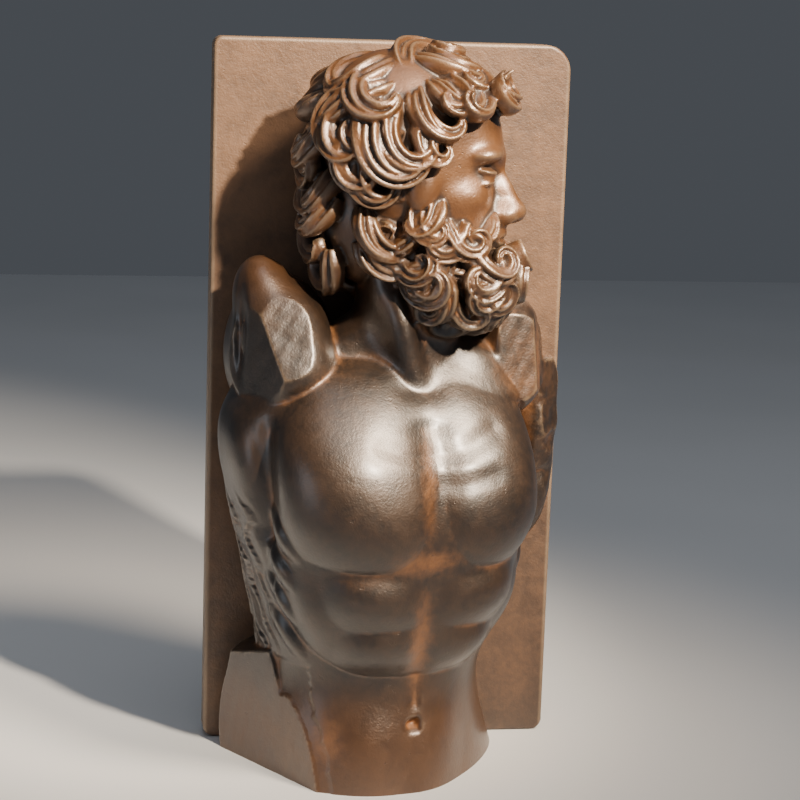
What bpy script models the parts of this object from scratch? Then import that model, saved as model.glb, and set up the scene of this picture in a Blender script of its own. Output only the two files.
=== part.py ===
# A bearded torso in high relief, cast in one piece with the flat slab that it stands against
# Metres, +Z up. The origin is on the ground, midway along the foot of the slab's front face.
# The figure looks out along -Y, and its head is turned to +X.
import math

import bpy
import numpy as np

FIGURE_HEIGHT = 0.300  # from the foot to the crown; the slab ends level with the crown
SLAB_HEIGHT = FIGURE_HEIGHT
SLAB_WIDTH = 0.150
SLAB_THICKNESS = 0.012
SLAB_TOP_RIGHT_RADIUS = 0.011
SLAB_TOP_LEFT_RADIUS = 0.004
SLAB_FOOT_RADIUS = 0.005
SLAB_EDGE_ROUNDING = 0.0014
CORNER_STEPS = 5


def both_sides(middle, radii, amount):
    """The same lump or hollow on either side of the head."""
    forward, aside, up = middle
    return (middle, radii, amount), ((forward, -aside, up), radii, amount)


# The figure is a free form: its pose and carving are in units of a three-hundredth of its height
UNIT = FIGURE_HEIGHT / 300
BODY_AXIS = (-6.0, -20.0)  # x and y of the line that the torso is carved round
GROUND_TRIM = 4.0  # how far the figure's solids reach below the ground before they are cut flat
TORSO_TURN = math.radians(15)  # the torso faces a little to its own left
GIRTH_RADIUS = 62.0  # turns an angle round the body into a distance along its skin
BACK_DEPTH = 30.0

# Torso sections from the foot up: height, half width left, half width right, depth in front, roundness of the
# left half and of the right half (1 is an ellipse, 1.5 nearly a straight slant from the side to the front)
TORSO_SECTIONS = (
    (-GROUND_TRIM, 57, 59, 55, 0.9, 1.45),
    (20, 52.5, 51, 51, 0.9, 1.35),
    (40, 48, 46, 48, 0.9, 1.1),
    (55, 48.5, 47, 49, 0.88, 0.9),
    (75, 53, 52, 53, 0.86, 0.86),
    (95, 57, 55, 55, 0.82, 0.82),
    (115, 61, 57, 57, 0.78, 0.78),
    (135, 65, 58, 54, 0.76, 0.76),
    (150, 65, 58, 48, 0.76, 0.76),
    (162, 59, 56, 42, 0.8, 0.8),
    (171, 50, 49, 34, 0.85, 0.85),
    (178, 26, 28, 20, 0.9, 0.9),
    (181, 4, 4, 4, 0.9, 0.9),
)

# Muscles on each half. Distance from the midline and height of the middle, reach towards the midline,
# outwards, down and up, tilt, swell, edge (0.5 is crisp, 1.5 soft) and squareness
SOFT_TOP = 0.9  # a cushion's upper edge is softer than its lower one by this power
PAIRED_MUSCLES = (
    (32, 124, 31, 32, 27, 58, 8, 6.0, 0.5, 3.4),  # breast
    (23, 82, 22, 25, 13, 13, 3, 3.4, 1.6, 2.2),  # abdomen, upper row
    (20, 60, 19, 23, 11, 13, -6, 3.0, 1.6, 2.2),  # abdomen, lower row
    (52, 76, 16, 16, 21, 22, -25, 2.0, 1.6, 2.0),  # beside the abdomen
    (20, 18, 19, 24, 26, 22, 0, 1.8, 1.6, 2.0),  # belly
    (97, 130, 22, 22, 48, 36, -6, 4.8, 0.9, 2.0),  # broad muscle of the back
)
BREAST_BED = (0, 116, 70, 70, 36, 58, 0, 2.4, 1.5, 2.6)
RIB_CAGE = (0, 92, 75, 75, 44, 95, 0, 7.5, 0.5, 2.6)
RIBS = 4
FIRST_RIB = (66, 108)
RIB_STEP = (2.5, -15)
RIB = (17, 17, 7, 7, 38, 3.0, 1.2, 2.0)

# Grooves on the torso's skin: from, to, width, depth
GROOVES = (
    ((0, 150), (0, 100), 4.0, 1.5),  # breastbone
    ((0, 93), (0, 36), 3.6, 1.5),  # middle of the abdomen
    ((-12, 143), (-3, 141), 3.6, 0.6),  # between the breast muscle's bundles
    ((4, 141), (18, 147), 3.6, 0.8),
    ((4, 130), (14, 132), 3.4, 0.6),
    ((-2, 27), (2, 27.5), 2.2, 4.6),  # navel
    ((0, 168), (0, 173), 6.0, 4.0),  # pit of the throat
    ((-76, 108), (-68, 146), 8.0, 3.5),  # hollows before the back muscles
    ((76, 108), (68, 146), 8.0, 3.5),
)

# Bodies of clay. A lump is its middle, its radii and its lean in degrees; a hollow is its middle, its radii
# and its depth; a cut is a point of a plane and the direction that faces away from the material.
# The head and the beard are in the head's own frame: forward, towards the viewer, up.
HEAD_MIDDLE = (0.0, -42.0, 257.0)
HEAD_TURN = math.radians(12)
HEAD = {
    "heart": (4, 0, -8),
    "blend": 1.7,
    "lumps": (
        ((0, 0, 0), (35, 28, 36), 0),  # skull
        ((-6, 0, 9), (33, 30, 32), 0),  # bed of the hair
        ((14, 0, 8), (22.5, 22, 22), 0),  # forehead
        ((14, 0, -20), (20.5, 22.5, 27), 0),  # face
        ((33, 0, -1.5), (5, 8, 6), 0),  # between the brows
        ((37.5, 0, -12), (4.4, 3.8, 12.5), -24),  # bridge of the nose
        ((43, 0, -21.5), (4.4, 4.0, 3.8), 0),  # tip of the nose
        ((28, 0, -31), (9, 12, 9), 0),  # round the mouth
        ((29, 0, -44), (8.5, 9, 7), 0),  # chin
        ((36.3, 0, -30.6), (3, 7, 1.9), 0),  # upper lip
        ((35.8, 0, -34.3), (3.2, 6.5, 2.1), 0),  # lower lip
        *both_sides((29.5, 10.5, 1.2), (8.0, 11, 4.4), 0),  # brows
        *both_sides((19, 13, -15), (13, 9.5, 8.5), 0),  # cheeks
        *both_sides((8, 13, -34), (20, 9, 10), 0),  # jaw
        *both_sides((27.8, 11.5, -7.6), (5.8, 6.2, 4.6), 0),  # eyes
        *both_sides((38.5, 4.6, -22.8), (5.0, 3.0, 3.3), 0),  # wings of the nose
        *both_sides((7, 25.5, -12), (5.0, 3.6, 8.5), 12),  # ears
    ),
    "hollows": (
        *both_sides((36, 12, -6.2), (7.5, 8, 4.4), 5.4),  # eye sockets
        *both_sides((25, 27, 4), (10, 8, 12), 2.0),  # temples
    ),
    "cuts": (),
}
BEARD = {
    "heart": (16, 0, -46),
    "blend": 3,
    "lumps": (((18, 0, -47), (22, 20, 20), 0), ((8, 0, -37), (18, 22, 14), 0)),
    "hollows": (),
    "cuts": (),
}
NAPE_HAIR = {
    "heart": (-16, 0, -20),
    "blend": 3,
    "lumps": (((-17, 0, -22), (17, 22, 31), 0),),
    "hollows": (),
    "cuts": (),
}
NECK = {
    "heart": (0, -34, 196),
    "blend": 3,
    "lumps": (
        ((0, -36, 200), (18, 18, 58), 3),
        ((0, -18, 200), (16, 20, 52), 0),
        ((-9, -47, 205), (5, 7, 24), -16),
        ((0, -55, 182), (5.5, 7, 20), -18),
        ((15, -47, 194), (5, 6, 32), 18),
        ((6, -38, 158), (44, 22, 15), 0),
        ((-21, -30, 177), (23, 18, 11), -28),
        ((27, -32, 173), (20, 16, 10), 25),
    ),
    "hollows": (((8, -62, 180), (6, 9, 13), 4),),
    "cuts": (),
}
HEAD_TO_SLAB = {
    "heart": (-2, -12, 262),
    "blend": 4,
    "lumps": (((-4, -14, 262), (30, 22, 31), 0),),
    "hollows": (),
    "cuts": (),
}
RAISED_STUMP = {
    "heart": (-48, -30, 180),
    "blend": 3,
    "lumps": (
        ((-49, -36, 176), (20, 26, 27), 10),
        ((-55, -30, 196), (12.5, 17, 18), -14),
        ((-45, -46, 170), (17, 18, 15), 0),
        ((-47, -14, 172), (23, 20, 32), 0),
    ),
    "hollows": (((-68, -38, 187), (2.4, 5, 12), 5),),
    "cuts": (((-61.5, -48, 203), (-0.85, -0.52, -0.02)),),
}
LOWERED_STUMP = {
    "heart": (45, -20, 172),
    "blend": 2,
    "lumps": (
        ((44, -26, 172), (19, 25, 24), -6),
        ((50, -22, 184), (9, 17, 13), 0),
        ((46, -8, 168), (22, 14, 26), 0),
    ),
    "hollows": (),
    "cuts": (
        ((48, -41.5, 174), (0.22, -0.96, 0.12)),
        ((61, -24, 172), (1, -0.3, 0.1)),
        ((37, -40, 172), (-0.86, -0.5, 0.1)),
        ((43, -36, 194), (-0.3, -0.25, 0.92)),
        ((46, -41, 157), (-0.2, -0.5, -0.84)),
    ),
}
SIDE_RIDGE = {
    "heart": (64, -3, 138),
    "blend": 4,
    "lumps": (
        ((65, -2, 160), (10, 12, 12), 0),
        ((66, -2, 140), (9, 11, 16), 0),
        ((64, -1, 116), (9, 9, 16), 0),
        ((60, 0, 98), (8, 6, 9), 0),
    ),
    "hollows": (((70, -11, 152), (5, 4, 3), 3), ((72, -9, 134), (4, 5, 4), 3), ((68, -9, 118), (4, 4, 3), 3)),
    "cuts": (((70, -8, 150), (0.75, -0.65, 0.1)), ((66, -8, 168), (0.2, -0.2, 1))),
}
HIP = {
    "heart": (-40, -22, 16),
    "blend": 3,
    "lumps": (((-40, -28, 12), (33, 37, 62), 0),),
    "hollows": (((-74, -6, 44), (8, 10, 14), 9),),
    "cuts": (
        ((-55, -34.5, 20), (-0.857, -0.514, 0.0)),  # the break
        ((-51, -40, 51), (-0.317, 0.1, 1)),
        ((-51, -40, 51), (0, -0.918, 0.396)),
    ),
}
HEAD_BODIES = (HEAD, BEARD, NAPE_HAIR)
HIP_LEDGE = 51.0
FIGURE_BODIES = (NECK, HEAD_TO_SLAB, RAISED_STUMP, LOWERED_STUMP, SIDE_RIDGE, HIP)

# Locks creep over an ellipsoid, given by its middle and radii in the head's frame. A lock is the azimuth and
# height of its root, its heading (0 is down, 90 is to the back), its bend and curl, its length, width,
# thickness and the lift of its tip; angles are in degrees.
HAIR_FORM = ((-2, 0, 3), (35, 30, 34))
HAIR_LOCKS = (
    (110, 40, 14, -60, -150, 52, 14, 10, 5),  # the long ones over the ear
    (94, 38, 22, -70, -170, 42, 12, 9, 5),
    (78, 42, 12, -80, -170, 35, 11, 9, 5),  # temple
    (64, 50, -8, -60, -190, 31, 11, 9, 6),
    (92, 14, 40, 70, 190, 30, 12, 8, 4),
    (76, 20, 20, -70, -190, 25, 10, 8, 4),
    (120, 16, 30, -70, -180, 34, 13, 10, 5),
    (86, 56, 150, 150, 260, 62, 12, 10, 8),  # the spiral on top
    (98, 52, 60, -30, 110, 42, 14, 9, 4),
    (116, 44, 60, -40, -120, 38, 14, 9, 5),
    (46, 56, -30, 70, 200, 30, 11, 9, 7),  # forelocks
    (30, 50, -20, 80, 210, 31, 11, 10, 12),
    (12, 46, -10, -80, -210, 33, 11, 10, 18),
    (-8, 48, 10, 80, 210, 33, 11, 10, 17),
    (-32, 48, 20, -80, -200, 31, 11, 10, 9),
    (24, 66, -40, -60, -190, 36, 12, 9, 8),
    (-4, 68, 0, 60, 190, 34, 12, 9, 8),
)
# Rings of locks: height, first and last azimuth, count, heading, length, width, thickness, lift, bend, curl
# and the phase that varies them
HAIR_RINGS = (
    (78, 60, 300, 5, 0, 36, 14, 9, 4, 60, 130, 0.3),
    (58, 128, 322, 6, 10, 34, 14, 10, 5, 50, 140, 1.1),
    (34, 134, 300, 6, 10, 33, 13, 10, 5, 60, 160, 2.0),
    (10, 114, 280, 6, 0, 32, 13, 10, 5, 60, 160, 2.9),
)
NAPE_FORM = ((-17, 0, -23), (19, 24, 33))
NAPE_RINGS = (
    (34, 76, 270, 5, 0, 31, 12, 9, 4, 60, 170, 0.6),
    (6, 82, 270, 5, 0, 31, 12, 9, 4, 60, 180, 1.9),
    (-24, 88, 270, 5, 0, 30, 11, 9, 4, 60, 190, 0.2),
)
CHEEK_FORM = ((12, 0, -25), (24, 23, 27))
CHEEK_LOCKS = (
    (60, -2, 10, 90, 260, 28, 9, 8, 3),
    (80, 0, -10, -90, -270, 29, 9.5, 8.5, 3),
    (102, -2, 20, 90, 260, 30, 10, 9, 3),
    (124, -4, 20, -60, -220, 30, 10, 9, 3),
    (52, -26, 0, -90, -260, 28, 9, 8, 4),
    (72, -24, 0, 90, 270, 30, 10, 9, 4),
    (96, -26, 10, -90, -270, 32, 10.5, 9, 4),
    (120, -28, 10, 90, 240, 32, 10.5, 9, 3),
    (-60, -4, 0, 90, 260, 29, 10, 9, 3),
    (-90, -4, 0, -90, -260, 29, 10, 9, 3),
    (-70, -26, 0, 90, 260, 29, 10, 9, 3),
    (-100, -26, 0, -90, -260, 29, 10, 9, 3),
    (86, 18, 0, 60, 220, 24, 9, 8, 3),  # beside the ear
    (106, 16, 10, -70, -220, 26, 9, 8, 3),
    (22, 5, 24, 60, 130, 24, 7, 6.5, 2),  # moustache
    (-22, 5, -24, -60, -130, 24, 7, 6.5, 2),
)
BEARD_FORM = ((18, 0, -46), (23, 21, 20))
BEARD_RINGS = (
    (28, -140, 140, 9, 0, 31, 10, 9, 4, 80, 270, 1.2),
    (2, -130, 130, 9, 0, 31, 10, 9, 4, 80, 270, 0.5),
    (-26, -120, 130, 8, 0, 30, 10, 9, 4, 80, 270, 2.2),
    (-56, -90, 130, 5, 0, 26, 9, 8, 3, 80, 250, 1.5),
)

# Fineness of the block-in
TORSO_RINGS = 110
TORSO_SPOKES = 130
CLAY_RINGS = 60
CLAY_SPOKES = 72
LOCK_STEPS = 16
LOCK_SIDES = 10
VOXEL = 0.0015
TRIANGLE_SHARE = 0.062

IRON_COLOUR = (0.13, 0.075, 0.045, 1)
IRON_ROUGHNESS = 0.45
IRON_METALLIC = 0.6


def smooth_through(table, share):
    """The table's rows read at shares of its length, on a cubic curve that passes through every row."""
    table = np.asarray(table, float)
    place = np.clip(share, 0, 1) * (len(table) - 1)
    first = np.minimum(place.astype(int), len(table) - 2)
    t = (place - first)[..., None]
    before = table[np.maximum(first - 1, 0)]
    start = table[first]
    end = table[first + 1]
    after = table[np.minimum(first + 2, len(table) - 1)]
    slope_in = (end - before) / 2
    slope_out = (after - start) / 2
    return (
        (2 * t**3 - 3 * t**2 + 1) * start
        + (t**3 - 2 * t**2 + t) * slope_in
        + (3 * t**2 - 2 * t**3) * end
        + (t**3 - t**2) * slope_out
    )


def pad(s, z, muscle):
    """A cushion: its swell times one minus the squared distance from its middle, to the edge's power."""
    middle_s, middle_z, inward, outward, down, up, tilt, swell, edge, squareness = muscle
    turn = math.radians(tilt)
    u = (s - middle_s) * math.cos(turn) + (z - middle_z) * math.sin(turn)
    v = (z - middle_z) * math.cos(turn) - (s - middle_s) * math.sin(turn)
    rise = np.clip(v / up, 0, 1)
    u = np.abs(u) / np.where(u < 0, inward, outward)
    v = np.abs(v) / np.where(v < 0, down, up)
    r = (u**squareness + v**squareness) ** (1 / squareness)
    return swell * np.clip(1 - r**2, 0, None) ** (edge + SOFT_TOP * rise)


def groove(s, z, start, end, width, depth):
    """A channel of bell-shaped section along the line from start to end."""
    along = np.subtract(end, start)
    share = ((s - start[0]) * along[0] + (z - start[1]) * along[1]) / (along @ along)
    share = np.clip(share, 0, 1)
    away = np.hypot(s - start[0] - share * along[0], z - start[1] - share * along[1])
    return depth * np.exp(-((away / width) ** 2))


def muscle_relief(s, z):
    """Swell of the torso's skin at distance s round the body and height z: pads blended by their cubes."""
    blend = 3
    pads = []
    for side in (-1, 1):
        pads += [pad(side * s, z, muscle) for muscle in PAIRED_MUSCLES]
        for i in range(RIBS):
            middle = (FIRST_RIB[0] + i * RIB_STEP[0], FIRST_RIB[1] + i * RIB_STEP[1])
            pads.append(pad(side * s, z, (*middle, *RIB)))
    swell = pad(s, z, RIB_CAGE) + pad(s, z, BREAST_BED) + sum(p**blend for p in pads) ** (1 / blend)
    return swell - sum(groove(s, z, *g) for g in GROOVES)


def torso_skin(rings, spokes):
    """Sections lofted from the foot to the neck, swollen by the muscles, the back let into the slab."""
    share = np.linspace(0, 1, rings)[:, None]
    around = np.linspace(-math.pi, math.pi, spokes, endpoint=False)[None, :]
    z, left, right, front, round_left, round_right = np.moveaxis(smooth_through(TORSO_SECTIONS, share), -1, 0)
    side = np.sin(around)
    fore = np.cos(around)
    half = np.where(side < 0, left, right)
    roundness = np.where(side < 0, round_left, round_right)
    depth = np.where(fore > 0, front, np.minimum(BACK_DEPTH, front))
    power = np.where(fore > 0, roundness, 0.55)
    across = half * np.sign(side) * np.abs(side) ** roundness
    out = depth * np.sign(fore) * np.abs(fore) ** power
    steep = np.hypot(side / half, fore / depth)
    relief = muscle_relief(around * GIRTH_RADIUS, z) * np.clip(fore + 0.6, 0, 1)
    across = across + relief * side / half / steep
    out = out + relief * fore / depth / steep
    x = BODY_AXIS[0] + across * math.cos(TORSO_TURN) + out * math.sin(TORSO_TURN)
    y = BODY_AXIS[1] + across * math.sin(TORSO_TURN) - out * math.cos(TORSO_TURN)
    points = np.stack([x, y, z + 0 * x], -1)
    # below the ledge of the broken hip, whatever stands out of the plane of the break is pushed back to it
    on_plane, normal = HIP["cuts"][0]
    normal = np.array(normal) / np.linalg.norm(normal)
    proud = np.clip((points - np.array(on_plane)) @ normal, 0, None)
    low = np.clip((HIP_LEDGE - points[..., 2]) / 2, 0, 1)
    return points - (proud * low)[..., None] * normal


def clay(points, body):
    """Distance to a body of lumps, softened where they meet, raised in its hollows and cut by its planes."""
    total = 0
    for middle, radii, lean in body["lumps"]:
        local = points - np.array(middle, float)
        c, s = math.cos(math.radians(lean)), math.sin(math.radians(lean))
        tipped = (c * local[..., 0] - s * local[..., 2], local[..., 1], s * local[..., 0] + c * local[..., 2])
        local = np.stack(tipped, -1)
        scaled = local / np.array(radii, float)
        reach = np.linalg.norm(scaled, axis=-1)
        slope = np.linalg.norm(scaled / np.array(radii, float), axis=-1)
        distance = reach * (reach - 1) / np.maximum(slope, 1e-9)
        total = total + np.exp(-np.clip(distance / body["blend"], -60, 60))
    field = -body["blend"] * np.log(total)
    for middle, radii, depth in body["hollows"]:
        away = np.linalg.norm((points - np.array(middle, float)) / np.array(radii, float), axis=-1)
        field = field + depth * np.exp(-(away**2))
    for on_plane, normal in body["cuts"]:
        normal = np.array(normal, float) / np.linalg.norm(normal)
        field = np.maximum(field, (points - np.array(on_plane, float)) @ normal)
    return field


def clay_skin(body, rings, spokes):
    """Rings of points over a body: on each ray from its heart, the outermost place at distance zero."""
    heart = np.array(body["heart"], float)
    reach = max(math.dist(middle, heart) + max(radii) for middle, radii, _ in body["lumps"])
    up = np.linspace(-math.pi / 2, math.pi / 2, rings + 2)[1:-1, None]
    around = np.linspace(-math.pi, math.pi, spokes, endpoint=False)[None, :]
    rays = np.stack([np.cos(up) * np.cos(around), np.cos(up) * np.sin(around), np.sin(up) + 0 * around], -1)
    inside = np.zeros(rays.shape[:2])
    outside = np.full(inside.shape, reach)
    found = np.zeros(inside.shape, bool)
    for step in np.linspace(reach, 0, 40)[1:]:
        hit = (clay(heart + step * rays, body) < 0) & ~found
        inside = np.where(hit, step, inside)
        found |= hit
        outside = np.where(found, outside, step)
    for _ in range(7):
        middle = (inside + outside) / 2
        within = clay(heart + middle[..., None] * rays, body) < 0
        inside = np.where(within, middle, inside)
        outside = np.where(within, outside, middle)
    return heart + inside[..., None] * rays


def from_head(points):
    """Points of the head's own frame (forward, towards the viewer, up) in the figure's frame."""
    forward = np.array([math.cos(HEAD_TURN), -math.sin(HEAD_TURN), 0])
    aside = np.array([-math.sin(HEAD_TURN), -math.cos(HEAD_TURN), 0])
    moved = points[..., 0:1] * forward + points[..., 1:2] * aside
    moved[..., 2] += points[..., 2]
    return moved + np.array(HEAD_MIDDLE)


def lock_paths(form, rows, steps):
    """Middle lines of locks that creep over an ellipsoid, each turning as it goes, and the normals there."""
    rows = np.array(rows, float)
    azimuth, height, heading, bend, curl = [np.radians(rows[:, k : k + 1]) for k in range(5)]
    length = rows[:, 5:6]
    middle, radii = np.array(form[0], float), np.array(form[1], float)
    level = np.cos(height)
    out = np.concatenate([level * np.cos(azimuth), level * np.sin(azimuth), np.sin(height)], 1)
    place = out * radii
    around = np.concatenate([-np.sin(azimuth), np.cos(azimuth), 0 * azimuth], 1)
    course = np.cos(heading) * np.cross(around, out) + np.sin(heading) * around
    places, normals = [], []
    for i in range(steps):
        share = i / (steps - 1)
        normal = place / radii**2
        normal /= np.linalg.norm(normal, axis=1, keepdims=True)
        course = course - (course * normal).sum(1, keepdims=True) * normal
        course /= np.linalg.norm(course, axis=1, keepdims=True)
        turn = (bend + 3 * curl * share**2) / (steps - 1)
        course = np.cos(turn) * course + np.sin(turn) * np.cross(normal, course)
        lift = rows[:, 8:9] * share**1.5 + rows[:, 7:8] * (0.5 * math.sin(math.pi * share) - 0.1)
        places.append(middle + place + lift * normal)
        normals.append(normal)
        place = place + course * length / (steps - 1)
        place /= np.linalg.norm(place / radii, axis=1, keepdims=True)
    return np.stack(places, 1), np.stack(normals, 1)


def lock_skin(paths, normals, widths, thicknesses, sides):
    """Rings of points round each path: an oval that tapers to the tip."""
    share = np.linspace(0, 1, paths.shape[1])[None, :, None, None]
    along = np.gradient(paths, axis=1)
    across = np.cross(normals, along)
    across /= np.linalg.norm(across, axis=-1, keepdims=True)
    outward = np.cross(along, across)
    outward /= np.linalg.norm(outward, axis=-1, keepdims=True)
    taper = (1 - 0.72 * share**2) * np.minimum(1, 0.55 + 2.5 * share)
    turn = np.linspace(0, 2 * math.pi, sides, endpoint=False)[None, None, :, None]
    half_width = widths[:, None, None, None] / 2 * taper
    half_height = thicknesses[:, None, None, None] / 2 * taper**0.6
    return (
        paths[:, :, None]
        + half_width * np.cos(turn) * across[:, :, None]
        + half_height * np.sin(turn) * outward[:, :, None]
    )


def ring_of_locks(height, first, last, count, heading, length, width, thickness, lift, bend, curl, phase):
    """A ring of locks that bend to either side in turn, each a little different."""
    locks = []
    for i in range(count):
        side = 1 if i % 2 else -1
        early = math.sin(2.4 * i + phase)
        late = math.cos(3.9 * i + phase)
        azimuth = first + (last - first) * i / (count - 1) + 4 * early
        turn = (heading + 18 * late * side, side * (bend + 25 * early), side * (curl + 20 * late))
        size = (length + 4 * early, width, thickness, lift + 1.5 * late)
        locks.append((azimuth, height + 5 * late, *turn, *size))
    return locks


def all_locks(form, locks, rings):
    """Skins of a form's single locks and its rings of locks."""
    rows = np.array(list(locks) + [lock for ring in rings for lock in ring_of_locks(*ring)], float)
    paths, normals = lock_paths(form, rows, LOCK_STEPS)
    return from_head(lock_skin(paths, normals, rows[:, 6], rows[:, 7], LOCK_SIDES))


def figure_skins():
    """Closed skins that together make the figure, each a grid of rings, reaching half-way into the slab."""
    skins = [torso_skin(TORSO_RINGS, TORSO_SPOKES)]
    skins += [from_head(clay_skin(body, CLAY_RINGS, CLAY_SPOKES)) for body in HEAD_BODIES]
    skins += [clay_skin(body, CLAY_RINGS, CLAY_SPOKES) for body in FIGURE_BODIES]
    skins += list(all_locks(HAIR_FORM, HAIR_LOCKS, HAIR_RINGS))
    skins += list(all_locks(NAPE_FORM, (), NAPE_RINGS))
    skins += list(all_locks(CHEEK_FORM, CHEEK_LOCKS, ()))
    skins += list(all_locks(BEARD_FORM, (), BEARD_RINGS))
    deepest = SLAB_THICKNESS / UNIT / 2
    for skin in skins:
        skin[..., 1] = np.minimum(skin[..., 1], deepest)
    return skins


def mesh_object(name, points, faces):
    """A new object from points in metres and faces of point numbers."""
    mesh = bpy.data.meshes.new(name)
    mesh.from_pydata(points, [], faces)
    mesh.update()
    thing = bpy.data.objects.new(name, mesh)
    bpy.context.scene.collection.objects.link(thing)
    return thing


def skins_object(name, skins):
    """One object of every closed skin: rings joined by quads, with a face over each end."""
    points, faces = [], []
    for skin in skins:
        rings, spokes, _ = skin.shape
        number = np.arange(rings * spokes).reshape(rings, spokes) + len(points)
        corners = (number[:-1], np.roll(number[:-1], -1, 1), np.roll(number[1:], -1, 1), number[1:])
        faces += np.stack(corners, -1).reshape(-1, 4).tolist()
        faces += [number[0, ::-1].tolist(), number[-1].tolist()]
        points += (skin.reshape(-1, 3) * UNIT).tolist()
    return mesh_object(name, points, faces)


def outer_skin(thing):
    """Put the modifiers into the mesh and drop the walls of the pockets that lie sealed between the locks."""
    graph = bpy.context.evaluated_depsgraph_get()
    mesh = bpy.data.meshes.new_from_object(thing.evaluated_get(graph))
    thing.modifiers.clear()
    edges = np.empty(2 * len(mesh.edges), int)
    mesh.edges.foreach_get("vertices", edges)
    edges = edges.reshape(-1, 2)
    label = np.arange(len(mesh.vertices))
    settled = False
    while not settled:
        least = label[edges].min(1)
        fresh = label.copy()
        np.minimum.at(fresh, label[edges[:, 0]], least)
        np.minimum.at(fresh, label[edges[:, 1]], least)
        fresh = fresh[fresh]
        settled = bool((fresh == label).all())
        label = fresh
    numbers, counts = np.unique(label, return_counts=True)
    keep = label == numbers[counts.argmax()]
    place = np.cumsum(keep) - 1
    points = [mesh.vertices[i].co[:] for i in np.flatnonzero(keep)]
    faces = [[int(place[v]) for v in face.vertices] for face in mesh.polygons if keep[face.vertices[0]]]
    thing.data = bpy.data.meshes.new(thing.name)
    thing.data.from_pydata(points, [], faces)


def slab_object(name):
    """The slab: its outline with rounded corners drawn out to its thickness, its edges eased."""
    corners = (
        (SLAB_WIDTH / 2, SLAB_HEIGHT, SLAB_TOP_RIGHT_RADIUS),
        (-SLAB_WIDTH / 2, SLAB_HEIGHT, SLAB_TOP_LEFT_RADIUS),
        (-SLAB_WIDTH / 2, 0, SLAB_FOOT_RADIUS),
        (SLAB_WIDTH / 2, 0, SLAB_FOOT_RADIUS),
    )
    quarter = math.pi / 2
    outline = []
    for number, (x, z, radius) in enumerate(corners):
        middle_x = x - math.copysign(radius, x)
        middle_z = z + radius if z == 0 else z - radius
        for i in range(CORNER_STEPS + 1):
            turn = quarter * (number + i / CORNER_STEPS)
            outline.append((middle_x + radius * math.cos(turn), middle_z + radius * math.sin(turn)))
    count = len(outline)
    points = [(x, 0, z) for x, z in outline] + [(x, SLAB_THICKNESS, z) for x, z in outline]
    faces = [[i, i + count, (i + 1) % count + count, (i + 1) % count] for i in range(count)]
    faces += [list(range(count)), list(range(count, 2 * count))[::-1]]
    slab = mesh_object(name, points, faces)
    bevel = slab.modifiers.new("edges", "BEVEL")
    bevel.width = SLAB_EDGE_ROUNDING
    bevel.segments = 2
    bevel.limit_method = "ANGLE"
    return slab


def combine(thing, operation, other):
    """Join another object to this one, or take it away, and keep that object out of the render."""
    modifier = thing.modifiers.new(operation.lower(), "BOOLEAN")
    modifier.operation = operation
    modifier.object = other
    modifier.solver = "EXACT"
    other.hide_render = True
    other.display_type = "WIRE"


def cast_iron():
    """Cast iron with a brown patina."""
    iron = bpy.data.materials.new("cast_iron")
    iron.use_nodes = True
    shader = iron.node_tree.nodes["Principled BSDF"]
    shader.inputs["Base Color"].default_value = IRON_COLOUR
    shader.inputs["Roughness"].default_value = IRON_ROUGHNESS
    shader.inputs["Metallic"].default_value = IRON_METALLIC
    iron.diffuse_color = IRON_COLOUR
    return iron


def main():
    for thing in list(bpy.data.objects):
        bpy.data.objects.remove(thing)
    bust = skins_object("relief_bust", figure_skins())
    fuse = bust.modifiers.new("fuse", "REMESH")
    fuse.mode = "VOXEL"
    fuse.voxel_size = VOXEL
    outer_skin(bust)
    thin = bust.modifiers.new("thin", "DECIMATE")
    thin.ratio = TRIANGLE_SHARE
    combine(bust, "UNION", slab_object("slab_tool"))
    reach = SLAB_WIDTH + SLAB_HEIGHT
    square = ((-reach, -reach), (reach, -reach), (reach, reach), (-reach, reach))
    corners = [(x, y, z) for z in (-reach, 0) for x, y in square]
    sides = [[0, 1, 5, 4], [1, 2, 6, 5], [2, 3, 7, 6], [3, 0, 4, 7], [3, 2, 1, 0], [4, 5, 6, 7]]
    combine(bust, "DIFFERENCE", mesh_object("ground_tool", corners, sides))
    outer_skin(bust)
    bust.data.materials.append(cast_iron())


if __name__ == "__main__":
    main()
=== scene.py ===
import math

import bmesh
import bpy
import numpy as np
from mathutils import Matrix, Vector
from mathutils.kdtree import KDTree


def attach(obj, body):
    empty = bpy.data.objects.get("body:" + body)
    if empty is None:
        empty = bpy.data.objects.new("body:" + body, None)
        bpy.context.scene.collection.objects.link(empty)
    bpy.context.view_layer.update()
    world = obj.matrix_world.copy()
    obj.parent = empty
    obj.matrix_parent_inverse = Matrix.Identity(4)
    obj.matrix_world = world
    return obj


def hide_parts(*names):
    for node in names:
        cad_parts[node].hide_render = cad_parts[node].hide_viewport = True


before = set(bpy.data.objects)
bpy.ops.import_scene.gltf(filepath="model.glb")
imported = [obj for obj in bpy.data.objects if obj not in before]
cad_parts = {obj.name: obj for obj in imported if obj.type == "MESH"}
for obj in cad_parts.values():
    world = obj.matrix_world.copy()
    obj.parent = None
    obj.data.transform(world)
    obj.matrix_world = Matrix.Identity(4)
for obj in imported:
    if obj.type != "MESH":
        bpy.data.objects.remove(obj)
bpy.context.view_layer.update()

slabSize = {
    "width": 0.150,
    "height": 0.300,
    "thickness": 0.012,
    "topRight": 0.011,  # corner radii
    "topLeft": 0.004,
    "foot": 0.005,
    "edge": 0.0014,
    "cornerPoints": 9,
    "edgeSegments": 4,
}
figureHeight = 0.300
unit = figureHeight / 300
embed = slabSize["thickness"] / unit / 2  # how deep the figure's skins reach into the slab


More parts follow.
